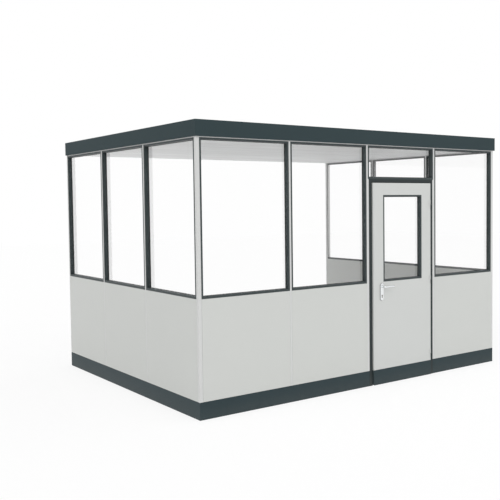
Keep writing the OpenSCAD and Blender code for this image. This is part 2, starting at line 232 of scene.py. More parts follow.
# Coated sheet or profile: powder coat under floor dust
def coated(name, colour, drift, gloss, peelDepth, dustReach, dustAmount, shine=0.4, foot=None):
    material, tree, shader, _ = newMaterial(name)
    if foot:   # another colour up to the kick plate's height
        place = add(tree, "TexCoord").outputs["Object"]
        above = calc(tree, "GREATER_THAN", add(tree, "SeparateXYZ", {0: place}).outputs["Z"], foot["top"])
        colour = add(tree, "Mix", {0: above, 6: foot["colour"], 7: colour}, data_type="RGBA").outputs[2]
    coat = useGroup(tree, coatGroup, Colour=colour, Drift=drift, Gloss=gloss)
    dust = useGroup(tree, dustGroup, Colour=coat["Colour"], Dust=coatLook["dust"],
                    Reach=dustReach, Amount=dustAmount)
    rough = calc(tree, "MULTIPLY_ADD", dust["Mask"], coatLook["dustRoughness"], coat["Roughness"])
    bump = add(tree, "Bump", {"Height": coat["Height"], "Strength": coatLook["peelStrength"],
                              "Distance": peelDepth})
    tree.links.new(dust["Colour"], shader.inputs["Base Color"])
    tree.links.new(rough, shader.inputs["Roughness"])
    tree.links.new(bump.outputs[0], shader.inputs["Normal"])
    shader.inputs["Specular IOR Level"].default_value = shine
    return material


sheetLook = {"stretch": (0.7, 9.0, 3.0), "streaks": 0.45, "drift": 0.03, "gloss": 0.5, "bump": 0.4,
             "depth": 0.4 * mm}


# Lined sheet: coated white, with drawn streaks along the panels
def linedSheet(name, colour):
    material, tree, shader, _ = newMaterial(name)
    streak = useGroup(tree, streakGroup, Stretch=sheetLook["stretch"], Strength=sheetLook["streaks"],
                      Colour=colour)
    coat = useGroup(tree, coatGroup, Colour=streak["Colour"], Drift=sheetLook["drift"],
                    Gloss=sheetLook["gloss"])
    bump = add(tree, "Bump", {"Height": streak["Value"], "Strength": sheetLook["bump"],
                              "Distance": sheetLook["depth"]})
    tree.links.new(coat["Colour"], shader.inputs["Base Color"])
    tree.links.new(coat["Roughness"], shader.inputs["Roughness"])
    tree.links.new(bump.outputs[0], shader.inputs["Normal"])
    return material


rubberLook = {"colour": ink(34, 36, 37), "drift": 0.25, "gloss": 0.62, "grain": 900.0, "bump": 0.5,
              "depth": 0.1 * mm}


def rubberSeal(name):
    material, tree, shader, _ = newMaterial(name)
    coat = useGroup(tree, coatGroup, Colour=rubberLook["colour"], Drift=rubberLook["drift"],
                    Gloss=rubberLook["gloss"], Peel=rubberLook["grain"])
    bump = add(tree, "Bump", {"Height": coat["Height"], "Strength": rubberLook["bump"],
                              "Distance": rubberLook["depth"]})
    tree.links.new(coat["Colour"], shader.inputs["Base Color"])
    tree.links.new(coat["Roughness"], shader.inputs["Roughness"])
    tree.links.new(bump.outputs[0], shader.inputs["Normal"])
    return material


metalLook = {"streaks": 0.1, "glossDrift": 0.2, "bump": 0.15, "depth": 0.01 * mm}


# Drawn or brushed metal; the edge shade tint is its colour where it is seen at a slant, and a dark one is a
# painted dark reflection along rounded edges
def brushedMetal(name, colour, stretch, gloss, edgeShadeTint=(1, 1, 1, 1)):
    material, tree, shader, _ = newMaterial(name)
    streak = useGroup(tree, streakGroup, Stretch=stretch, Strength=metalLook["streaks"], Colour=colour)
    rough = calc(tree, "MULTIPLY_ADD", calc(tree, "SUBTRACT", streak["Value"], 0.5), metalLook["glossDrift"],
                 gloss)
    bump = add(tree, "Bump", {"Height": streak["Value"], "Strength": metalLook["bump"],
                              "Distance": metalLook["depth"]})
    tree.links.new(streak["Colour"], shader.inputs["Base Color"])
    tree.links.new(rough, shader.inputs["Roughness"])
    tree.links.new(bump.outputs[0], shader.inputs["Normal"])
    shader.inputs["Metallic"].default_value = 1.0
    shader.inputs["Specular Tint"].default_value = edgeShadeTint
    return material


glassLook = {"film": ink(254, 254, 254), "stretch": (2.2, 2.2, 0.5), "streaks": 0.012, "hazeFrom": 0.45,
             "haze": 0.03, "ior": 1.5, "shadow": (0.98, 0.98, 0.98, 1)}


# Clear glass with a thin film of dust; lamps shine through it
def clearGlass(name):
    material, tree, shader, output = newMaterial(name)
    film = useGroup(tree, streakGroup, Stretch=glassLook["stretch"], Strength=glassLook["streaks"],
                    Colour=glassLook["film"])
    haze = calc(tree, "MULTIPLY", calc(tree, "SUBTRACT", film["Value"], glassLook["hazeFrom"], clamp=True),
                glassLook["haze"])
    tree.links.new(film["Colour"], shader.inputs["Base Color"])
    tree.links.new(haze, shader.inputs["Roughness"])
    shader.inputs["Transmission Weight"].default_value = 1.0
    shader.inputs["IOR"].default_value = glassLook["ior"]
    ray = add(tree, "LightPath").outputs
    through = add(tree, "BsdfTransparent", {"Color": glassLook["shadow"]})
    mixed = add(tree, "MixShader", {0: ray["Is Shadow Ray"], 1: shader.outputs[0], 2: through.outputs[0]})
    tree.links.new(mixed.outputs[0], output.inputs["Surface"])
    return material


lightGrey, darkGrey, plinthGrey = ink(206, 208, 205), ink(54, 67, 70), ink(46, 60, 64)
leafFoot = {"top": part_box("door_kick_plate")[1].z, "colour": ink(48, 62, 66)}
flat, fine = 0.25 * mm, 0.15 * mm    # depth of the orange peel on sheets and on profiles
finishOf = {
    "wall_panel": coated("panelCoat", lightGrey, drift=0.05, gloss=0.46, peelDepth=flat, dustReach=0.5,
                         dustAmount=0.08),
    "wall_profile": coated("profileCoat", ink(210, 211, 210), drift=0.04, gloss=0.40, peelDepth=fine,
                           dustReach=0.5, dustAmount=0.08),
    "door_leaf": coated("leafCoat", ink(206, 208, 206), drift=0.05, gloss=0.44, peelDepth=flat, dustReach=0.5,
                        dustAmount=0.08, foot=leafFoot),
    "dark_plinth": coated("plinthCoat", plinthGrey, drift=0.14, gloss=0.5, peelDepth=flat, dustReach=0.14,
                          dustAmount=0.07, shine=0.22),
    "dark_fascia": coated("fasciaCoat", darkGrey, drift=0.12, gloss=0.6, peelDepth=flat, dustReach=0.16,
                          dustAmount=0.0, shine=0.1),
    "dark_window_frame": coated("frameCoat", ink(62, 70, 71), drift=0.12, gloss=0.46, peelDepth=fine,
                                dustReach=0.16, dustAmount=0.0, shine=0.25),
    "dark_door_frame": coated("doorFrameCoat", ink(43, 51, 52), drift=0.12, gloss=0.46, peelDepth=fine,
                              dustReach=0.14, dustAmount=0.07, shine=0.25),
    "clear_glass": clearGlass("clearGlass"),
    "roof_sheet": linedSheet("ceilingSheet", ink(249, 250, 250)),
    # Dark edge shade tint on the fittings: painted dark reflection along the levers' and plates' rounded edges
    "fittings": brushedMetal("satinAluminium", ink(236, 239, 240), stretch=(90.0, 90.0, 1400.0), gloss=0.24,
                             edgeShadeTint=ink(96, 99, 101)),
}
rubber = rubberSeal("blackRubber")
steel = brushedMetal("bareSteel", ink(186, 188, 190), stretch=(700.0, 700.0, 90.0), gloss=0.32)
# Dark edge shade tint on the lock cylinders: painted dark reflection round their rims
nickel = brushedMetal("nickelledBrass", ink(150, 148, 142), stretch=(300.0, 300.0, 300.0), gloss=0.3,
                      edgeShadeTint=ink(60, 60, 60))
# Painted shade: a near-black finish for the blocks that stand in for the shaded key slots
dark = coated("keywayShadow", ink(18, 18, 19), drift=0.2, gloss=0.7, peelDepth=0.05 * mm, dustReach=0.2,
              dustAmount=0.0)
slotOf = {part["node"]: part["material_slot"] for part in frame["record"]["subparts"]}
for node, obj in frame["nodes"].items():
    obj.data.materials.clear()
    obj.data.materials.append(finishOf[slotOf[node]])
print("finishes done")


# Skin: quads between neighbouring rows of a grid whose rows are closed rings; the first and last
# rows get lids, unless the grid is closed that way too
def skin(rows, closed=False):
    rows = np.asarray(rows, float)
    n, m = rows.shape[:2]
    i, j = np.meshgrid(np.arange(n if closed else n - 1), np.arange(m), indexing="ij")
    a, b = i * m + j, i * m + (j + 1) % m
    up = m * ((i + 1) % n)
    quads = np.stack([a, b, up + (j + 1) % m, up + j], -1).reshape(-1, 4)
    lids = [] if closed else [np.arange(m)[::-1], np.arange(m) + (n - 1) * m]
    return rows.reshape(-1, 3), quads, lids


# Sweep: row i is the profile at path point i, carried sideways on the mitre of the two legs that
# meet there, (s1 + s2) / (1 + s1.s2), and along up; a positive first number lies right of the path
def sweep(profile, path, up, closed=False):
    profile, path, up = (np.asarray(x, float) for x in (profile, path, up))
    leg = np.roll(path, -1, 0) - path
    leg /= np.linalg.norm(leg, axis=1, keepdims=True)
    if not closed:
        leg[-1] = leg[-2]
    back = np.roll(leg, 1, 0)
    if not closed:
        back[0] = leg[0]
    side, sideBack = np.cross(up, leg), np.cross(up, back)
    mitre = (side + sideBack) / (1 + (side * sideBack).sum(1, keepdims=True))
    return path[:, None] + mitre[:, None] * profile[None, :, :1] + up * profile[None, :, 1:]


edgeSteps, profileSteps, wideSteps = 3, 4, 6   # points on a quarter round, by its size


# Quarter round: r (1 - sin t) and r (1 - cos t), as t turns from one face to the next
def quarterRound(r, steps):
    t = np.linspace(0, np.pi / 2, steps)
    return r * (1 - np.sin(t)), r * (1 - np.cos(t))


# Plate: an outline drawn in by one number of a quarter round at a depth of the other, so that both
# faces have rounded edges; middle adds rings between them
def plate(outline, y0, y1, r, middle=()):
    inset, depth = quarterRound(r, edgeSteps)
    insets = np.r_[inset, np.zeros(len(middle)), inset[::-1]]
    depths = np.r_[y0 + depth, middle, y1 - depth[::-1]]
    return np.stack([np.insert(outline(i), 1, y, axis=1) for i, y in zip(insets, depths)])


def rectangle(x0, x1, z0, z1):  # the four corners, drawn in by the inset
    return lambda i: np.array([[x0 + i, z0 + i], [x1 - i, z0 + i], [x1 - i, z1 - i], [x0 + i, z1 - i]])


# Turned part: a ring of each radius r at its height h along an axis, h axis + r (cos t u + sin t v)
def turned(foot, axis, radii, heights, sides):
    axis = np.asarray(axis, float)
    u = np.cross(axis, [0, 0, 1] if abs(axis[2]) < 0.9 else [1, 0, 0])
    v = np.cross(axis, u)
    t = np.linspace(0, 2 * np.pi, sides, endpoint=False)[None, :, None]
    r, h = (np.asarray(x, float)[:, None, None] for x in (radii, heights))
    return np.asarray(foot, float) + axis * h + r * (np.cos(t) * u + np.sin(t) * v)


# Piece: all skins in one mesh, doubles merged and faces turned outward
def makePiece(name, skins, finish=None, stands=(), body="cabin", wall=None, slot=None, sharp=40):
    points, faces, start = [], [], 0
    for verts, quads, lids in skins:
        points.append(verts)
        faces += (quads + start).tolist() + [(lid + start).tolist() for lid in lids]
        start += len(verts)
    points = np.concatenate(points)
    mesh = bpy.data.meshes.new(name)
    placed = toCabin(points, wall) if wall else points
    mesh.from_pydata(placed.tolist(), [], faces)
    work = bmesh.new()
    work.from_mesh(mesh)
    bmesh.ops.remove_doubles(work, verts=work.verts, dist=mergeWithin)
    bmesh.ops.recalc_face_normals(work, faces=work.faces)
    work.to_mesh(mesh)
    work.free()
    mesh.polygons.foreach_set("use_smooth", np.ones(len(mesh.polygons), bool))
    mesh.set_sharp_from_angle(angle=np.radians(sharp))
    piece = bpy.data.objects.new(name, mesh)
    bpy.context.scene.collection.objects.link(piece)
    piece.modifiers.new("evenNormals", "WEIGHTED_NORMAL").keep_sharp = True
    slot = slot or slotOf[stands[0]]
    mesh.materials.append(finish or finishOf[slot])
    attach(piece, body)
    if stands:
        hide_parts(*stands)


def camelName(node):
    first, *rest = node.split("_")
    return first + "".join(word.capitalize() for word in rest)


# Walls: plinth, panels, posts and rails are folded or drawn profiles with eased edges
wallEdge = {"panel": 1.0 * mm, "plinth": 2.0 * mm, "post": 1.2 * mm, "corner": 2.5 * mm, "rail": 1.0 * mm}
wallDepth = wallBox("plinth_left", "left")[1][1]
cornerDepth = wallBox("corner_post_left", "front")[1][0]
postWidth = np.ptp([c.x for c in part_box("front_post")])


# Two walls meet on a mitre: x is no less than y, and on the front wall no more than its length less y
def mitred(rows, wall):
    rows[..., 0] = np.maximum(rows[..., 0], np.minimum(rows[..., 1], wallDepth))
    if wall == "front":
        rows[..., 0] = np.minimum(rows[..., 0], frontLength - rows[..., 1])
    return rows


def slab(x0, x1, y0, y1, z0, z1, r, wall):  # flat on its wall, with a ring where the mitre starts
    rows = plate(rectangle(x0, x1, z0, z1), y0, y1, r, middle=(cornerDepth,) if y0 < cornerDepth < y1 else ())
    return skin(mitred(rows, wall))


simpleNodes = [
    ("plinth_left", "left", "plinth"), ("plinth_right", "right", "plinth"),
    ("plinth_front_left", "front", "plinth"), ("plinth_front_right", "front", "plinth"),
    ("left_panels", "left", "panel"), ("right_panels", "right", "panel"),
    ("front_left_panels", "front", "panel"), ("front_right_panel", "front", "panel"),
    ("left_posts", "left", "post"), ("right_posts", "right", "post"),
    ("front_post", "front", "post"), ("wall_end_left", "left", "post"),
    ("left_head_rail", "left", "rail"), ("right_head_rail", "right", "rail"),
    ("front_head_rail", "front", "rail"),
]
for node, wall, kind in simpleNodes:
    low, high = wallBox(node, wall)
    skins = [slab(x0, x1, low[1], high[1], low[2], high[2], wallEdge[kind], wall)
             for x0, x1 in spans(node, wall)]
    makePiece(camelName(node), skins, stands=(node,), wall=wall)

for side in ("left", "right"):
    node = f"corner_post_{side}"
    low, high = wallBox(node, "front")
    rise, run = quarterRound(wallEdge["corner"], wideSteps)   # on each of the four upright edges
    plan = np.concatenate([
        np.c_[low[0] + run, low[1] + rise],
        np.c_[high[0] - run, low[1] + rise][::-1],
        np.c_[high[0] - run, high[1] - rise],
        np.c_[low[0] + run, high[1] - rise][::-1],
    ])
    rows = np.stack([np.insert(plan, 2, z, axis=1) for z in (low[2], high[2])])
    makePiece(camelName(node), [skin(rows)], stands=(node,), wall="front")

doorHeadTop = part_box("door_frame_head")[1].z


# Door post outline: the plain post, with a packer beside it up to the top of the door frame; the
# outer side lies at x0, the packer's side at x2, and way is the direction from one to the other
def doorPost(x0, x2, z0, z1):
    way = np.sign(x2 - x0)
    x1 = x0 + way * postWidth
    x = np.array([x0, x2, x2, x1, x1, x0])
    z = np.array([z0, z0, doorHeadTop, doorHeadTop, z1, z1])
    inward = np.array([[1, 1], [-1, 1], [-1, -1], [-1, -1], [-1, -1], [1, -1]]) * [way, 1]
    return lambda i: np.c_[x, z] + inward * i


for side in ("left", "right"):
    node = f"door_post_{side}"
    low, high = wallBox(node, "front")
    outer, inner = (low[0], high[0]) if side == "left" else (high[0], low[0])
    rows = plate(doorPost(outer, inner, low[2], high[2]), low[1], high[1], wallEdge["post"])
    makePiece(camelName(node), [skin(rows)], stands=(node,), wall="front")
print("walls done")


# Windows: a mitred frame with a groove for the pane, and a rubber seal on both sides of the pane
window = {
    "bite": 4 * mm,         # pane in its groove
    "slack": 0.3 * mm,      # beside the pane
    "groove": 5 * mm,
    "edge": 1.2 * mm,
    "sealWidth": 3.2 * mm,  # on the pane
    "sealHeight": 4.6 * mm,
    "sealSteps": 5,
    "overlap": 1 * mm,      # last stile into its end profile
}


# Frame profile, first number outward from the opening, second inward from the outer face: a
# rectangle with quarter-round corners on both faces and a square groove where the pane sits
def frameProfile(width, y0, y1, paneY0, paneY1):
    r, slack, deep = window["edge"], window["slack"], window["groove"]
    rise, run = quarterRound(r, edgeSteps)
    groove = [[0, paneY0 - slack], [deep, paneY0 - slack], [deep, paneY1 + slack], [0, paneY1 + slack]]
    return np.concatenate([
        np.c_[width - rise, y0 + run][::-1],
        np.c_[rise, y0 + run],
        groove,
        np.c_[rise, y1 - run][::-1],
        np.c_[width - rise, y1 - run],
        [[width, min(cornerDepth, y1 - r)]],
    ])


# Seal profile against one face of the pane: a wedge with a rounded back
def sealProfile(face, outward):
    t = np.linspace(0, np.pi / 2, window["sealSteps"])
    w, h = window["sealWidth"], window["sealHeight"]
    wedge = np.c_[-w * np.sin(t), face + outward * h * np.cos(t)]
    return np.concatenate([[[0, face]], wedge])


# One window flat on its wall; the sill bar is deeper than the other three, so points below the
# opening are stretched by the ratio of the two
def windowSkins(z0, z1, open0, open1, openZ0, openZ1, faces, pane, wall=None, rearLimit=None):
    width, sill = z1 - openZ1, openZ0 - z0
    profile = frameProfile(width, *faces, *pane)
    path = np.array([[open0, 0, openZ0], [open1, 0, openZ0], [open1, 0, openZ1], [open0, 0, openZ1]])
    closed = rearLimit is None
    if not closed:   # open at the rear, where another piece is the stile
        path = np.array([[rearLimit, 0, openZ1], [open0, 0, openZ1], [open0, 0, openZ0],
                         [rearLimit, 0, openZ0]])
    rows = sweep(profile, path, (0, 1, 0), closed)
    z = rows[..., 2]
    rows[..., 2] = np.where(z < openZ0, openZ0 + (z - openZ0) * sill / width, z)
    return skin(mitred(rows, wall) if wall else rows, closed)


# Both seals of a pane: the wedge carried round the opening on each face
def sealSkins(open0, open1, openZ0, openZ1, pane):
    path = np.array([[open0, 0, openZ0], [open1, 0, openZ0], [open1, 0, openZ1], [open0, 0, openZ1]])
    return [skin(sweep(sealProfile(face, way), path, (0, 1, 0), True), True)
            for face, way in ((pane[0], -1), (pane[1], 1))]


windowNodes = [
    ("left_window_frames", "left_glass", "left"), ("right_window_frames", "right_glass", "right"),
    ("front_left_window_frames", "front_left_glass", "front"),
    ("front_right_window_frame", "front_right_glass", "front"), ("transom_frame", "transom_glass", "front"),
]
bite = window["bite"]
for frameNode, glassNode, wall in windowNodes:
    low, high = wallBox(frameNode, wall)
    paneLow, paneHigh = wallBox(glassNode, wall)
    skins, seals = [], []
    for (_, x1), (p0, p1) in zip(spans(frameNode, wall), spans(glassNode, wall)):
        rearOpen = x1 < p1   # its rear stile belongs to the wall's end profile
        opening = (p0 + bite, p1 - bite, paneLow[2] + bite, paneHigh[2] - bite)
        skins.append(windowSkins(low[2], high[2], *opening, (low[1], high[1]),
                                 (paneLow[1], paneHigh[1]), wall, x1 if rearOpen else None))
        seals += sealSkins(*opening, (paneLow[1], paneHigh[1]))
    makePiece(camelName(frameNode), skins, stands=(frameNode,), wall=wall)
    makePiece(camelName(glassNode) + "Seals", seals, finish=rubber, slot=slotOf[frameNode], wall=wall)

# Right wall's end profile, which is also the rear stile of the last window
low, high = wallBox("wall_end_right", "right")
endWidth = np.ptp([c.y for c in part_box("wall_end_left")])
paneLow, paneHigh = wallBox("right_glass", "right")
sillLow = wallBox("right_window_frames", "right")[0][2]
stileEdge = spans("right_glass", "right")[-1][1] - bite
stileWidth = high[0] - endWidth - stileEdge + window["overlap"]
stile = frameProfile(stileWidth, low[1], high[1], paneLow[1], paneHigh[1])
rows = np.stack([np.c_[stile[:, 0] + stileEdge, stile[:, 1], np.full(len(stile), z)]
                 for z in (sillLow, high[2])])
endSlab = slab(high[0] - endWidth, high[0], low[1], high[1], low[2], high[2], wallEdge["post"], "right")
makePiece("wallEndRight", [skin(rows), endSlab], stands=("wall_end_right",), wall="right")
print("windows done")

# Roof: lined panels inside a mitred fascia
roof = {"beads": 9, "beadWidth": 9 * mm, "beadDepth": 1.4 * mm, "edge": 1.5 * mm}


# Roof panel section: flat faces with shallow beads at even pitch, underneath and on top
def roofRows(x0, x1, y0, y1, z0, z1):
    pitch = (y1 - y0) / (roof["beads"] + 1)
    centre = y0 + pitch * np.arange(1, roof["beads"] + 1)
    w, d = roof["beadWidth"] / 2, roof["beadDepth"]
    y = (centre[:, None] + np.array([-w, -w / 2, w / 2, w])).ravel()
    lift = np.tile([0, d, d, 0], roof["beads"])
    under, over = np.c_[y, z0 + lift], np.c_[y, z1 - lift][::-1]
    section = np.concatenate([[[y0, z0]], under, [[y1, z0]], [[y1, z1]], over, [[y0, z1]]])
    return np.stack([np.insert(section, 0, x, axis=1) for x in (x0, x1)])


low, high = wallBox("roof_panels", "front")
skins = [skin(roofRows(low[0], high[0], y0, y1, low[2], high[2]))
         for y0, y1 in spans("roof_panels", "front", 1)]
makePiece("roofPanels", skins, stands=("roof_panels",), wall="front")

low, high = (np.array(c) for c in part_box("roof_rear_trim"))
trim = plate(rectangle(low[0], high[0], low[2], high[2]), low[1], high[1], roof["edge"])
makePiece("roofRearTrim", [skin(trim)], stands=("roof_rear_trim",))

low, high = (np.array(c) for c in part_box("front_fascia"))
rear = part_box("left_fascia")[1].y
proud = cornerLow.x - low[0]
rise, run = quarterRound(roof["edge"], profileSteps)
fasciaProfile = np.concatenate([
    np.c_[rise, low[2] + run][::-1], np.c_[proud - rise, low[2] + run],
    np.c_[proud - rise, high[2] - run][::-1], np.c_[rise, high[2] - run],
])
fasciaPath = np.array([[cornerHigh.x, rear, 0], [cornerHigh.x, cornerLow.y, 0],
                       [cornerLow.x, cornerLow.y, 0], [cornerLow.x, rear, 0]])
fasciaRows = sweep(fasciaProfile, fasciaPath, (0, 0, 1))
for i, node in enumerate(("right_fascia", "front_fascia", "left_fascia")):
    makePiece(camelName(node), [skin(fasciaRows[i:i + 2])], stands=(node,))
print("roof done")

# Door frame: jambs with a stop, a head between wall posts, and a rubber seal on the stop
doorFrame = {"edge": 1.5 * mm, "gap": 5 * mm, "stopWidth": 12 * mm, "sealWidth": 8 * mm,
             "sealHeight": 4.2 * mm, "sealFoot": 2 * mm, "sealSteps": 9}
jambLow, jambHigh = wallBox("door_jamb_left", "front")
rightOuter = wallBox("door_jamb_right", "front")[1][0]
headLow, headHigh = wallBox("door_frame_head", "front")
leafLow, leafHigh = wallBox("door_leaf", "front")
plateLow, plateHigh = wallBox("door_lock_set", "front")
leafGap, stopWidth = doorFrame["gap"], doorFrame["stopWidth"]
stopY = leafHigh[1] + leafGap             # the face that the leaf closes on
jambInner = leafLow[0] - leafGap          # the face of the left jamb beside the leaf
rightInner = leafHigh[0] + leafGap
headUnder = jambHigh[2]


# Jamb section with its stop, mirrored for the right side; both outer corners are quarter rounds
def jambRows(outer, inner, way, z0, z1):
    rise, run = quarterRound(doorFrame["edge"], profileSteps)
    stopX = inner + way * stopWidth
    section = np.concatenate([
        np.c_[outer + way * rise, run][::-1], np.c_[inner - way * rise, run],
        [[inner, stopY]], np.c_[stopX - way * rise, stopY + run],
        np.c_[stopX - way * rise, wallDepth - run][::-1], np.c_[outer + way * rise, wallDepth - run],
    ])
    return np.stack([np.insert(section, 2, z, axis=1) for z in (z0, z1)])


makePiece("doorJambLeft", [skin(jambRows(jambLow[0], jambInner, 1, 0, headUnder))],
          stands=("door_jamb_left",), wall="front")

head = slab(headLow[0], headHigh[0], headLow[1], headHigh[1], headUnder, headHigh[2], doorFrame["edge"],
            "front")
stop = slab(jambInner + stopWidth, rightInner - stopWidth, stopY, wallDepth, headUnder - stopWidth,
            headUnder + doorFrame["edge"], doorFrame["edge"], "front")
makePiece("doorFrameHead", [head, stop], stands=("door_frame_head",), wall="front")

# Hinges: the lower half with its pin on the jamb, the upper half with its flap on the leaf
hinge = {
    "height": 100 * mm,
    "ring": 1.2 * mm,
    "dome": 3 * mm,
    "domeTurn": 0.98,           # of a quarter turn, then a flat end
    "domePower": 0.6,           # below 1 for a fuller dome than a round one
    "domeSteps": 6,
    "sides": 40,
    "armReach": 0.92,           # of the barrel's radius
    "armFoot": 3 * mm,
    "armTop": 1 * mm,
    "armDepth": 1 * mm,         # into the jamb
    "flapThick": 2.5 * mm,
    "flapEdge": 0.6 * mm,
    "flapReach": 0.4,           # short of the axis, of the barrel's radius
    "flapFoot": 0.5 * mm,
    "flapTop": 2 * mm,
    "play": 0.4 * mm,           # between the halves
    "screw": 3.4 * mm,
    "screwRise": 0.7 * mm,
    "screwSides": 20,
    "screwPlaces": ((8 * mm, 11 * mm), (8 * mm, 37 * mm), (20 * mm, 24 * mm)),
}
# Small turned parts, here and on the lock: share of the radius, share of the height
ringShape = np.array([[0.8, 0], [0.98, 0.2], [0.98, 0.9], [0.8, 1.1]])
screwShape = np.array([[1, -0.6], [1, 0.2], [0.8, 0.8], [0.35, 1.0], [0.3, 0.3]])
joint = next(j for j in frame["joints"] if j["name"] == "door_hinge")
hingeAxis = toWall(joint["pos_m"], "front")
hingesLow, hingesHigh = wallBox("door_hinges", "front")
barrelRadius = hingesHigh[0] - hingeAxis[0]
halfHeight = hinge["height"] / 2
hingeFeet = [z0 - halfHeight for z0, _ in spans("door_hinges", "front", 2)]


# Barrel half: straight wall with a rounded free end, r (cos t) ^ power out and dome sin t along
def barrel(z0, z1, roundedUp):
    t = np.linspace(0, np.pi / 2 * hinge["domeTurn"], hinge["domeSteps"])
    radii = np.r_[barrelRadius, barrelRadius * np.cos(t) ** hinge["domePower"]]
    heights = np.r_[0, z1 - z0 - hinge["dome"] * (1 - np.sin(t))]
    foot, axis = ([*hingeAxis[:2], z0], (0, 0, 1)) if roundedUp else ([*hingeAxis[:2], z1], (0, 0, -1))
    return skin(turned(foot, axis, radii, heights, hinge["sides"]))


arms = [slab(hingeAxis[0], hingeAxis[0] + barrelRadius * hinge["armReach"], hingeAxis[1], hinge["armDepth"],
             z + hinge["armFoot"], z + halfHeight - hinge["armTop"], hinge["flapEdge"], "front")
        for z in hingeFeet]
lowerHalves = [barrel(z, z + halfHeight - hinge["ring"], False) for z in hingeFeet]
makePiece("doorJambRight", [skin(jambRows(rightOuter, rightInner, -1, 0, headUnder))] + lowerHalves + arms,
          stands=("door_jamb_right",), wall="front")
rings = [skin(turned([*hingeAxis[:2], z + halfHeight - hinge["ring"]], (0, 0, 1),
                     ringShape[:, 0] * barrelRadius, ringShape[:, 1] * hinge["ring"], hinge["sides"]))
         for z in hingeFeet]
makePiece("hingeRings", rings, finish=steel, wall="front", slot=slotOf["door_hinges"])

flapX0, flapX1 = hingesLow[0], hingeAxis[0] - barrelRadius * hinge["flapReach"]
flapY = leafLow[1] - hinge["flapThick"]
upperHalves, flaps, screws = [], [], []
for z in hingeFeet:
    z0, z1 = z + halfHeight + hinge["play"], z + hinge["height"]
    upperHalves.append(barrel(z0, z1, True))
    flaps.append(skin(plate(rectangle(flapX0, flapX1, z0 + hinge["flapFoot"], z1 - hinge["flapTop"]),
                            flapY, leafLow[1], hinge["flapEdge"])))
    for dx, dz in hinge["screwPlaces"]:
        screws.append(skin(turned([flapX0 + dx, flapY, z0 + dz], (0, -1, 0),
                                  screwShape[:, 0] * hinge["screw"],
                                  screwShape[:, 1] * hinge["screwRise"], hinge["screwSides"])))
makePiece("doorHinges", upperHalves, stands=("door_hinges",), body="door", wall="front")
makePiece("hingeFlaps", flaps, body="door", wall="front", slot=slotOf["door_leaf"])
makePiece("hingeScrews", screws, finish=steel, body="door", wall="front", slot=slotOf["door_hinges"])

# Seal on the stop: half an oval, squeezed by the closed leaf
t = np.linspace(0, np.pi, doorFrame["sealSteps"])
sealSection = np.c_[np.cos(t) * doorFrame["sealWidth"] / 2, -np.sin(t) * doorFrame["sealHeight"]]
sealSection[:, 1] += stopY
sealX0, sealX1 = jambInner + stopWidth / 2, rightInner - stopWidth / 2
sealFoot, sealTop = doorFrame["sealFoot"], headUnder - stopWidth / 2
sealPath = [[sealX0, 0, sealFoot], [sealX0, 0, sealTop], [sealX1, 0, sealTop], [sealX1, 0, sealFoot]]
makePiece("doorSeal", [skin(sweep(sealSection, sealPath, (0, 1, 0)))], finish=rubber, wall="front",
          slot=slotOf["door_jamb_left"])
print("door frame done")

# Door leaf: a flat steel-faced leaf with eased edges, its window and a kick plate
leaf = {"edge": 2.0 * mm, "kickEdge": 0.8 * mm}
viewLow, viewHigh = wallBox("door_window_frame", "front")


# Leaf: rings round the outer edge from front to back with a quarter round on each, then round the
# window's hole from back to front; the grid closes on itself
def leafRows():
    inset, depth = quarterRound(leaf["edge"], profileSteps)
    outer = rectangle(leafLow[0], leafHigh[0], leafLow[2], leafHigh[2])
    hole = rectangle(viewLow[0], viewHigh[0], viewLow[2], viewHigh[2])
    rings = [(outer, i, leafLow[1] + d) for i, d in zip(inset, depth)]
    rings += [(outer, i, leafHigh[1] - d) for i, d in zip(inset[::-1], depth[::-1])]
    rings += [(hole, 0, leafHigh[1]), (hole, 0, leafLow[1])]
    return np.stack([np.insert(outline(i), 1, y, axis=1) for outline, i, y in rings])


makePiece("doorLeaf", [skin(leafRows(), True)], stands=("door_leaf",), body="door", wall="front")

low, high = wallBox("door_kick_plate", "front")
kick = plate(rectangle(low[0], high[0], low[2], high[2]), low[1], high[1], leaf["kickEdge"])
makePiece("doorKickPlate", [skin(kick)], stands=("door_kick_plate",), body="door", wall="front")

paneLow, paneHigh = wallBox("door_glass", "front")
opening = (paneLow[0] + bite, paneHigh[0] - bite, paneLow[2] + bite, paneHigh[2] - bite)
pane = (paneLow[1], paneHigh[1])
viewFaces = (viewLow[1], viewHigh[1])
makePiece("doorWindowFrame", [windowSkins(viewLow[2], viewHigh[2], *opening, viewFaces, pane)],
          stands=("door_window_frame",), body="door", wall="front")
makePiece("doorGlassSeals", sealSkins(*opening, pane), finish=rubber, body="door", wall="front",
          slot=slotOf["door_window_frame"])

# Lock set: long back plates with round ends, a lock cylinder and a lever on each side
lock = {
    "plateThick": 8 * mm,
    "plateEdge": 2.4 * mm,
    "underlay": 4.5 * mm,
    "underlayEdge": 0.6 * mm,
    "reveal": 1.2 * mm,         # of the underlay round the plate
    "endSteps": 17,
    "drop": 92 * mm,            # lever to cylinder
    "roundRadius": 8.5 * mm,
    "legWidth": 10 * mm,
    "legDrop": 24.5 * mm,
    "crownSteps": 25,
    "footSteps": 9,
    "proud": 2 * mm,            # cylinder out of its plate
    "cylinderFoot": 1 * mm,
    "cylinderEdge": 0.6 * mm,
    "plugRadius": 6.6 * mm,
    "plugRise": 0.45 * mm,
    "plugSides": 32,
    "keyHeight": 8.5 * mm,
    "keyWidth": 2.2 * mm,
    "keyProud": 2.55 * mm,
    "keyEdge": 0.2 * mm,
    "screw": 3.6 * mm,
    "screwRise": 1 * mm,
    "screwFromTop": 12 * mm,
    "screwFromFoot": 14 * mm,
}
plugShape = np.array([[1, -1.1], [1, 0.55], [0.94, 1]])    # share of radius, of height
leverLow, leverHigh = wallBox("door_levers", "front")
leverZ = (leverLow[2] + leverHigh[2]) / 2
leverThick = leverHigh[2] - leverLow[2]
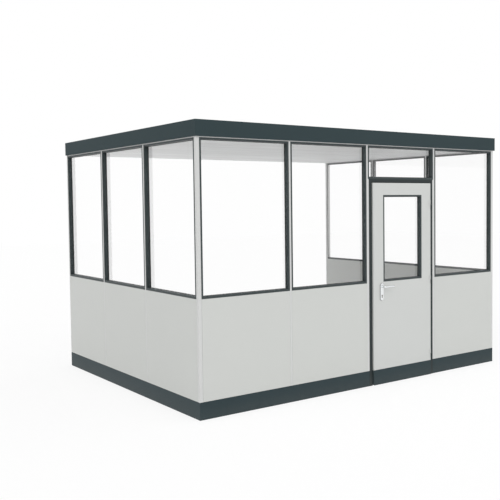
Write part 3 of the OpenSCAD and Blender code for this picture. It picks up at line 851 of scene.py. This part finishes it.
spindleX = leverLow[0] + leverThick / 2
keyZ = leverZ - lock["drop"]
plateHalf = (plateHigh[0] - plateLow[0]) / 2
plateX = (plateHigh[0] + plateLow[0]) / 2
outFace, inFace = leafLow[1], leafHigh[1]


# Back plate outline: a straight band with half circles at both ends, drawn in by the inset
def plateOutline(i):
    t = np.linspace(0, np.pi, lock["endSteps"])
    r = plateHalf - i
    top = np.c_[plateX + r * np.cos(t), plateHigh[2] - plateHalf + r * np.sin(t)]
    foot = np.c_[plateX - r * np.cos(t), plateLow[2] + plateHalf - r * np.sin(t)]
    return np.concatenate([top, foot])


# Lock cylinder outline: a circle with a narrower leg below it, round at the foot
def cylinderOutline(i):
    r, half = lock["roundRadius"] - i, lock["legWidth"] / 2 - i
    meet = np.arcsin(half / r)
    t = np.linspace(-np.pi / 2 + meet, 3 * np.pi / 2 - meet, lock["crownSteps"])
    s = np.linspace(np.pi, 2 * np.pi, lock["footSteps"])
    crown = np.c_[r * np.cos(t), r * np.sin(t)]
    foot = np.c_[half * np.cos(s), -lock["legDrop"] + half + i + half * np.sin(s)]
    return np.concatenate([crown, foot]) + [spindleX, keyZ]


def mirrored(rows):  # the inner side's copy, over the middle of the leaf
    rows = rows.copy()
    rows[..., 1] = outFace + inFace - rows[..., 1]
    return rows


# A cover plate on a dark underlay that shows all round it as a thin dark rim, painted shade at the plate's edge
plateFace = outFace - lock["plateThick"]
rise, run = quarterRound(lock["plateEdge"], wideSteps)
insets, depths = np.r_[rise, 0] + lock["reveal"], np.r_[plateFace + run, outFace]
backPlate = np.stack([np.insert(plateOutline(i), 1, y, axis=1) for i, y in zip(insets, depths)])
underlay = plate(plateOutline, outFace - lock["underlay"], outFace, lock["underlayEdge"])
makePiece("plateUnderlays", [skin(underlay), skin(mirrored(underlay))], finish=rubber, body="door",
          wall="front", slot=slotOf["door_lock_set"])
keyHead = plate(cylinderOutline, plateFace - lock["proud"], plateFace + lock["cylinderFoot"],
                lock["cylinderEdge"])
plug = turned([spindleX, plateFace - lock["proud"], keyZ], (0, -1, 0), plugShape[:, 0] * lock["plugRadius"],
              plugShape[:, 1] * lock["plugRise"], lock["plugSides"])
makePiece("doorLockSet", [skin(backPlate), skin(mirrored(backPlate))], stands=("door_lock_set",),
          body="door", wall="front", sharp=50)
makePiece("lockCylinders", [skin(rows) for part in (keyHead, plug) for rows in (part, mirrored(part))],
          finish=nickel, body="door", wall="front", slot=slotOf["door_lock_set"], sharp=50)

# Keyway: a dark block on each cylinder's face, painted shade where the key slot opens
keyAcross, keyUpright = lock["keyWidth"] / 2, lock["keyHeight"] / 2
keyway = plate(rectangle(spindleX - keyAcross, spindleX + keyAcross, keyZ - keyUpright, keyZ + keyUpright),
               plateFace - lock["keyProud"], plateFace - lock["cylinderFoot"], lock["keyEdge"])
makePiece("keyways", [skin(keyway), skin(mirrored(keyway))], finish=dark, body="door", wall="front",
          slot=slotOf["door_lock_set"])
plateScrews = [skin(mirrored(turned([plateX, plateFace, z], (0, -1, 0), screwShape[:, 0] * lock["screw"],
                                    screwShape[:, 1] * lock["screwRise"], hinge["screwSides"])))
               for z in (plateHigh[2] - lock["screwFromTop"], plateLow[2] + lock["screwFromFoot"])]
makePiece("plateScrews", plateScrews, finish=steel, body="door", wall="front", slot=slotOf["door_lock_set"])

lever = {
    "bend": 17 * mm,
    "halfAcross": 7.6 * mm,
    "halfUpright": 9.2 * mm,
    "rootDepth": 1 * mm,
    "tip": 1.2,                 # tip's length, of halfAcross
    "tipTurn": 0.97,            # of a quarter turn, then a flat end
    "neckSteps": 4,
    "bendSteps": 10,
    "gripSteps": 6,
    "tipSteps": 7,
    "sides": 32,
    "collar": 13.5 * mm,
    "collarRise": 3.2 * mm,
    "collarSides": 40,
}
collarShape = np.array([[1, -0.16], [1, 0.69], [0.93, 0.94], [0.75, 1]])    # share of radius, of height


# Lever: an oval carried along neck, quarter bend and grip; across the path it goes a cos t, upright
# b sin t, and both shrink by cos s into the tip
def leverRows():
    reach = outFace - leverLow[1] - leverThick / 2     # leaf face to the grip's middle
    bend, tip = lever["bend"], lever["halfAcross"] * lever["tip"]
    length = leverHigh[0] - spindleX
    turn = np.linspace(0, np.pi / 2, lever["bendSteps"])[1:]
    close = np.linspace(0, np.pi / 2 * lever["tipTurn"], lever["tipSteps"])[1:]
    neck = np.linspace(lock["plateThick"] - lever["rootDepth"], reach - bend, lever["neckSteps"])
    grip = np.linspace(bend, length - tip, lever["gripSteps"])[1:]
    x = np.r_[neck * 0, bend * (1 - np.cos(turn)), grip, length - tip + tip * np.sin(close)]
    out = np.r_[neck, reach - bend + bend * np.sin(turn), grip * 0 + reach, close * 0 + reach]
    angle = np.r_[neck * 0, turn, grip * 0 + np.pi / 2, close * 0 + np.pi / 2]
    size = np.r_[np.ones(len(x) - len(close)), np.cos(close)][:, None]
    t = np.linspace(0, 2 * np.pi, lever["sides"], endpoint=False)
    across, upright = size * lever["halfAcross"] * np.cos(t), size * lever["halfUpright"] * np.sin(t)
    px = spindleX + x[:, None] - across * np.cos(angle)[:, None]
    py = outFace - out[:, None] - across * np.sin(angle)[:, None]
    return np.stack([px, py, leverZ + upright], -1)


collar = turned([spindleX, plateFace, leverZ], (0, -1, 0), collarShape[:, 0] * lever["collar"],
                collarShape[:, 1] * lever["collarRise"], lever["collarSides"])
grips = [skin(rows) for part in (leverRows(), collar) for rows in (part, mirrored(part))]
makePiece("doorLevers", grips, stands=("door_levers",), body="lever", wall="front", sharp=50)
print("door done")

# Floor and light
stageSetup = {
    "floorSize": 60.0,
    "floorGlow": 0.81,          # as seen, with the shade below
    "floorShade": 0.2,
    "floorBounce": 0.9,         # for the light it throws back
    "frontLight": 1.0,
    "rearLight": 0.16,
    "turnFrom": 0.1,            # where the level starts to fall, and where it ends
    "turnTo": 0.9,
    "sunStrength": 0.45,
    "sunAngle": 40.0,
    "sunFrom": (-0.6, -0.5, 0.6),
}
white = (1, 1, 1, 1)


def seenDirectly(tree):  # 1 for camera rays and for what mirrors and glass show
    ray = add(tree, "LightPath").outputs
    return calc(tree, "MAXIMUM", calc(tree, "MAXIMUM", ray["Is Camera Ray"], ray["Is Glossy Ray"]),
                ray["Is Transmission Ray"])


def buildFloor():
    half = stageSetup["floorSize"] / 2
    mesh = bpy.data.meshes.new("floor")
    corners = [(-half, -half, 0), (half, -half, 0), (half, half, 0), (-half, half, 0)]
    mesh.from_pydata(corners, [], [(0, 1, 2, 3)])
    floor = bpy.data.objects.new("floor", mesh)
    bpy.context.scene.collection.objects.link(floor)
    material = bpy.data.materials.new("paleFloor")
    material.use_nodes = True
    tree = material.node_tree
    tree.nodes.clear()
    pale = add(tree, "BsdfDiffuse", {"Color": (stageSetup["floorBounce"],) * 3 + (1,)})
    thin = add(tree, "BsdfDiffuse", {"Color": (stageSetup["floorShade"],) * 3 + (1,)})
    glow = add(tree, "Emission", {"Color": white, "Strength": stageSetup["floorGlow"]})
    bright = add(tree, "AddShader", {0: thin.outputs[0], 1: glow.outputs[0]})
    mixed = add(tree, "MixShader", {0: seenDirectly(tree), 1: pale.outputs[0], 2: bright.outputs[0]})
    add(tree, "OutputMaterial", {"Surface": mixed.outputs[0]})
    mesh.materials.append(material)


# World: white where it is seen; as a light it falls from frontLight to rearLight towards the open
# back, where the hall wall would stand
def buildWorld():
    world = bpy.data.worlds.new("studio")
    bpy.context.scene.world = world
    world.use_nodes = True
    tree = world.node_tree
    tree.nodes.clear()
    plain = add(tree, "Background", {"Color": white, "Strength": 1.0})
    towards = add(tree, "SeparateXYZ", {0: add(tree, "TexCoord").outputs["Generated"]}).outputs["Y"]
    level = add(tree, "MapRange", {"Value": towards, "From Min": stageSetup["turnFrom"],
                                   "From Max": stageSetup["turnTo"], "To Min": stageSetup["frontLight"],
                                   "To Max": stageSetup["rearLight"]},
                interpolation_type="SMOOTHSTEP").outputs[0]
    soft = add(tree, "Background", {"Color": white, "Strength": level})
    mixed = add(tree, "MixShader", {0: seenDirectly(tree), 1: soft.outputs[0], 2: plain.outputs[0]})
    add(tree, "OutputWorld", {"Surface": mixed.outputs[0]})


def buildSun():
    data = bpy.data.lights.new("softSun", "SUN")
    data.energy = stageSetup["sunStrength"]
    data.angle = np.radians(stageSetup["sunAngle"])
    sun = bpy.data.objects.new("softSun", data)
    bpy.context.scene.collection.objects.link(sun)
    sun.rotation_euler = Vector(stageSetup["sunFrom"]).to_track_quat("Z", "Y").to_euler()


# Camera: turned to its heading, dipped, and rolled a little about its line of sight
camera = {"place": (-5.3485, -7.2141, 1.8952), "heading": 0.6375, "dip": 0.0485, "roll": -0.011,
          "lens": 55.07, "sensor": 36.0, "shiftX": -0.0639, "shiftY": -0.0187}


def buildCamera():
    heading, dip, roll = camera["heading"], camera["dip"], camera["roll"]
    ahead = Vector((np.sin(heading) * np.cos(dip), np.cos(heading) * np.cos(dip), -np.sin(dip)))
    right = Vector((np.cos(heading), -np.sin(heading), 0))
    up = right.cross(ahead)
    rolledRight = np.cos(roll) * right + np.sin(roll) * up
    rolledUp = np.cos(roll) * up - np.sin(roll) * right
    data = bpy.data.cameras.new("camera")
    data.lens, data.sensor_width = camera["lens"], camera["sensor"]
    data.shift_x, data.shift_y = camera["shiftX"], camera["shiftY"]
    eye = bpy.data.objects.new("camera", data)
    bpy.context.scene.collection.objects.link(eye)
    turn = Matrix((rolledRight, rolledUp, -ahead)).transposed().to_4x4()
    eye.matrix_world = Matrix.Translation(camera["place"]) @ turn
    bpy.context.scene.camera = eye


buildFloor()
buildWorld()
buildSun()
buildCamera()
bpy.context.scene.view_settings.view_transform = "Standard"
print("stage done")
